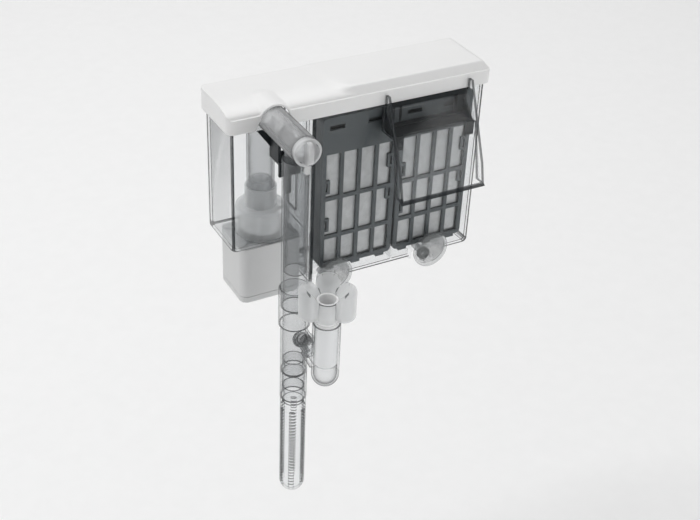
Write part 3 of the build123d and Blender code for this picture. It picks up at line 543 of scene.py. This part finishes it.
# ---------------------------------------------------------------- lid
LID_LOW, LID_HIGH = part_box("lid")
LID_CORNER = 5.0 * MM
LID_WALL = 2.0 * MM
LID_EDGE = 0.35 * MM         # rounding where the top meets the sides
LID_LIP = 0.3 * MM           # rounding under the skirt
LEDGE = 1.5 * MM             # narrow level step above the skirt
SKIRT_BOTTOM = LID_LOW.z
CREASE_Z = 32.6 * MM         # where the sides' slope starts
PANEL_Z = 38.4 * MM          # top of the raised panel
PANEL_BEVEL = 3.8 * MM
PANEL_SHOULDER = 5.5 * MM    # the panel's last soft fall, of PANEL_FALL
PANEL_FALL = 0.4 * MM
HOLLOW_RISE, HOLLOW_DEPTH = 5.3 * MM, 24 * MM
BEND_X, BEND_Y = -65 * MM, 13.6 * MM     # a point on the line where the panel meets the hollow
BEND_SLANT = 7.5 / 33.4
BEND_WIDTH = 11 * MM
BEND_FOOT, BEND_FOOT_DEPTH = 9 * MM, 8.5 * MM
BRIDGE_Z = 26.5 * MM
HUMP_R = 12.55 * MM
HUMP_FADE, HUMP_FADE_START, HUMP_FADE_LENGTH = 9 * MM, 26 * MM, 16 * MM
HUMP_BLEND = 2.4 * MM
ARCH_R = 11.2 * MM
ARCH_FLARE_LEFT, ARCH_FLARE_RIGHT = 4.0 * MM, 2.6 * MM
ARCH_FOOT = 1.9 * MM


def ease(t):
    """Smooth step from 0 to 1."""
    t = min(1.0, max(0.0, t))
    return t * t * (3 - 2 * t)


def smooth_max(a, b, k):
    """Larger of two heights, with a fillet where they are within k of each other."""
    h = max(k - abs(a - b), 0.0) / k
    return max(a, b) + h * h * k / 4


def lid_height(x, y):
    """Top surface of the lid: raised panel right, sloping hollow left, bulge over the bridge tube."""
    deep = y - LID_LOW.y - LEDGE
    t = 1 - min(1.0, max(0.0, deep / HOLLOW_DEPTH))
    left = CREASE_Z + HOLLOW_RISE * sqrt(1 - t * t)
    inward = min(deep, LID_HIGH.x - LEDGE - x)
    right = CREASE_Z + (PANEL_Z - CREASE_Z) * min(1.0, max(0.0, inward / PANEL_BEVEL))
    if inward < PANEL_SHOULDER:
        right = min(right, PANEL_Z - PANEL_FALL * (1 - ease(inward / PANEL_SHOULDER)))
    bend = BEND_X - BEND_SLANT * (y - BEND_Y)
    bend += BEND_FOOT * max(0.0, 1 - deep / BEND_FOOT_DEPTH) ** 2
    share = ease((x - bend) / BEND_WIDTH + 0.5)
    top = left + (right - left) * share
    dx = abs(x - PIPE_X)
    if dx < HUMP_R * 0.995:
        fade = HUMP_FADE * ease((y - HUMP_FADE_START) / HUMP_FADE_LENGTH)
        bulge = BRIDGE_Z + sqrt(HUMP_R ** 2 - dx ** 2) - fade
        top = smooth_max(top, bulge, HUMP_BLEND)
    return min(top, LID_HIGH.z - 0.1 * MM)


def skirt_bottom(x, y):
    """Lower edge of the skirt, lifted into an arch where the bridge tube passes."""
    if y > LID_LOW.y + 3 * MM:
        return SKIRT_BOTTOM
    dx = abs(x - PIPE_X)
    opening = ARCH_R * 0.985
    flare = ARCH_R + (ARCH_FLARE_LEFT if x < PIPE_X else ARCH_FLARE_RIGHT)
    if dx <= opening:
        return BRIDGE_Z + sqrt(ARCH_R * ARCH_R - dx * dx) * 0.985
    if dx < flare:
        foot = BRIDGE_Z + ARCH_FOOT
        return foot + (SKIRT_BOTTOM - foot) * ease((dx - opening) / (flare - opening))
    return SKIRT_BOTTOM


def spread(low, high, coarse, dense, fine):
    """Evenly spaced values, closer together inside the dense span."""
    values = list(np.arange(low, high, coarse)) + [high]
    values = [v for v in values if not dense[0] - coarse / 2 < v < dense[1] + coarse / 2]
    values += list(np.arange(dense[0], dense[1] + fine / 2, fine))
    return sorted(values)


def make_lid():
    """The lid as one closed shell: top, ledge, skirt with its arch, and the same surfaces inside."""
    low, high = LID_LOW, LID_HIGH
    r = LID_CORNER
    xs = spread(low.x + r, high.x - r, 2.0 * MM, (-140 * MM, -101 * MM), 0.6 * MM)
    ys = spread(low.y + r, high.y - r, 1.6 * MM, (low.y + r, low.y + r + 6 * MM), 0.6 * MM)
    arc = 8
    verts, faces, index = [], [], {}

    def vertex(x, y, z):
        key = (round(x, 7), round(y, 7), round(z, 7))
        if key not in index:
            index[key] = len(verts)
            verts.append((x, y, z))
        return index[key]

    def ring(inset):
        """Points round the lid's outline, drawn in by inset."""
        c = r - inset
        points = [(x, low.y + inset) for x in xs]
        turns = ((high.x - r, low.y + r, -90, [(high.x - inset, y) for y in ys]),
                 (high.x - r, high.y - r, 0, [(x, high.y - inset) for x in reversed(xs)]),
                 (low.x + r, high.y - r, 90, [(low.x + inset, y) for y in reversed(ys)]),
                 (low.x + r, low.y + r, 180, []))
        for cx, cy, start, rest in turns:
            for i in range(1, arc):
                a = radians(start + 90 * i / arc)
                points.append((cx + c * cos(a), cy + c * sin(a)))
            points += rest
        return points

    def quad(a, b, c, d):
        corners = [v for i, v in enumerate((a, b, c, d)) if v not in (a, b, c, d)[:i]]
        if len(corners) > 2:
            faces.append(tuple(corners))

    def band(first, second):
        n = len(first)
        for i in range(n):
            j = (i + 1) % n
            quad(first[i], first[j], second[j], second[i])

    def level(inset, height):
        return [vertex(x, y, height(x, y)) for x, y in ring(inset)]

    def surface(drop, flip):
        grid = [[vertex(x, y, lid_height(x, y) - drop) for x in xs] for y in ys]
        for j in range(len(ys) - 1):
            for i in range(len(xs) - 1):
                q = (grid[j][i], grid[j][i + 1], grid[j + 1][i + 1], grid[j + 1][i])
                quad(*(reversed(q) if flip else q))

    def rounded_top(inset):
        left = max(0.0, LID_EDGE - inset)
        return LID_EDGE - sqrt(max(0.0, LID_EDGE ** 2 - left ** 2))

    insets = [r]
    insets += [d * MM for d in (4.6, 4.2, 3.8, 3.4, 3.0, 2.6, 2.3, 2.0, 1.75, 1.5, 1.2, 0.8)]
    insets += [LID_EDGE * (1 - sin(radians(a))) for a in (0, 22, 45, 67, 90)]
    rings = [level(d, lambda x, y, d=d: lid_height(x, y) - rounded_top(d)) for d in insets]

    def side(t):
        def height(x, y):
            high_z = lid_height(x, y) - LID_EDGE
            return high_z + (skirt_bottom(x, y) + LID_LIP - high_z) * t
        return height

    rings += [level(0.0, side(t)) for t in (0.25, 0.5, 0.75, 1.0)]
    rings.append(level(LID_LIP, skirt_bottom))
    rings.append(level(LID_WALL - LID_LIP, skirt_bottom))
    rings.append(level(LID_WALL, lambda x, y: skirt_bottom(x, y) + LID_LIP))
    rings += [level(d, lambda x, y: lid_height(x, y) - LID_WALL) for d in (LID_WALL, 3 * MM, 4 * MM, r)]
    surface(0.0, False)
    for first, second in zip(rings, rings[1:]):
        band(second, first)
    surface(LID_WALL, True)
    piece = new_piece("lid_shell", verts, faces)
    piece.data.materials.append(MATERIALS["white_lid"])
    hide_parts("lid")
    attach(piece, "lid")


# ---------------------------------------------------------------- filter media
def make_media(node):
    """Soft pad with uneven faces that sink towards its edges."""
    low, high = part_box(node)
    inset = 0.25 * MM
    step = 1.2 * MM
    xs = np.linspace(low.x + inset, high.x - inset, int((high.x - low.x) / step))
    zs = np.linspace(low.z + inset, high.z - inset, int((high.z - low.z) / step))
    rng = np.random.default_rng(len(node))
    thick = high.y - low.y
    lumps = rng.uniform(-0.15, 0.15, (len(zs), len(xs))) * MM
    verts, faces = [], []
    for sign in (-1, 1):
        for j, z in enumerate(zs):
            for i, x in enumerate(xs):
                edge = min(x - xs[0], xs[-1] - x, z - zs[0], zs[-1] - z)
                crown = 1 - 0.5 * (1 - ease(edge / (3 * MM)))
                pad = (thick / 2 - 0.1 * MM) * crown - 0.15 * MM
                pad += lumps[j, i] * ease(edge / (2 * MM))
                verts.append((x, (low.y + high.y) / 2 + sign * pad, z))
    n, m = len(xs), len(zs)
    for j in range(m - 1):
        for i in range(n - 1):
            a = j * n + i
            faces.append((a, a + 1, a + n + 1, a + n))
            b = a + n * m
            faces.append((b, b + n, b + n + 1, b + 1))
    rim = list(range(n)) + [j * n + n - 1 for j in range(1, m)]
    rim += [(m - 1) * n + i for i in range(n - 2, -1, -1)] + [j * n for j in range(m - 2, 0, -1)]
    for a, b in zip(rim, rim[1:] + rim[:1]):
        faces.append((a, a + n * m, b + n * m, b))
    piece = new_piece(node + "_pad", verts, faces)
    piece.data.materials.append(MATERIALS[SLOT_OF[node]])
    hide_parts(node)
    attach(piece, BODY_OF[node])


# ---------------------------------------------------------------- build
set_camera()
make_materials()
set_stage()
set_lights()
scene.view_settings.view_transform = "Standard"
scene.cycles.transparent_max_bounces = 48
make_lid()
for name in SLOT_OF:
    if name == "lid":
        continue
    if name.endswith(("_floss", "_carbon")):
        make_media(name)
    elif SLOT_OF[name] in CLEAR_SLOTS:
        low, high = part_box(name)
        # faces below this height, the chute's lower lip, get the dark edge film: painted shade
        below = low.z + 1.7 * MM if name == "waterfall_chute" else -1.0     # the chute's lower lip
        # the strainer's upward faces between these heights get the dark slot film: painted shade
        slots = (low.z + 9 * MM, high.z - 18 * MM) if name == "strainer" else (0.0, 0.0)
        rims = SLOT_OF[name] == "clear_plastic" and name not in PLAIN_CLEAR
        rebuilt(name, rims or name == "float_crown", name == "tub", below, slots)
    else:
        dress(name)
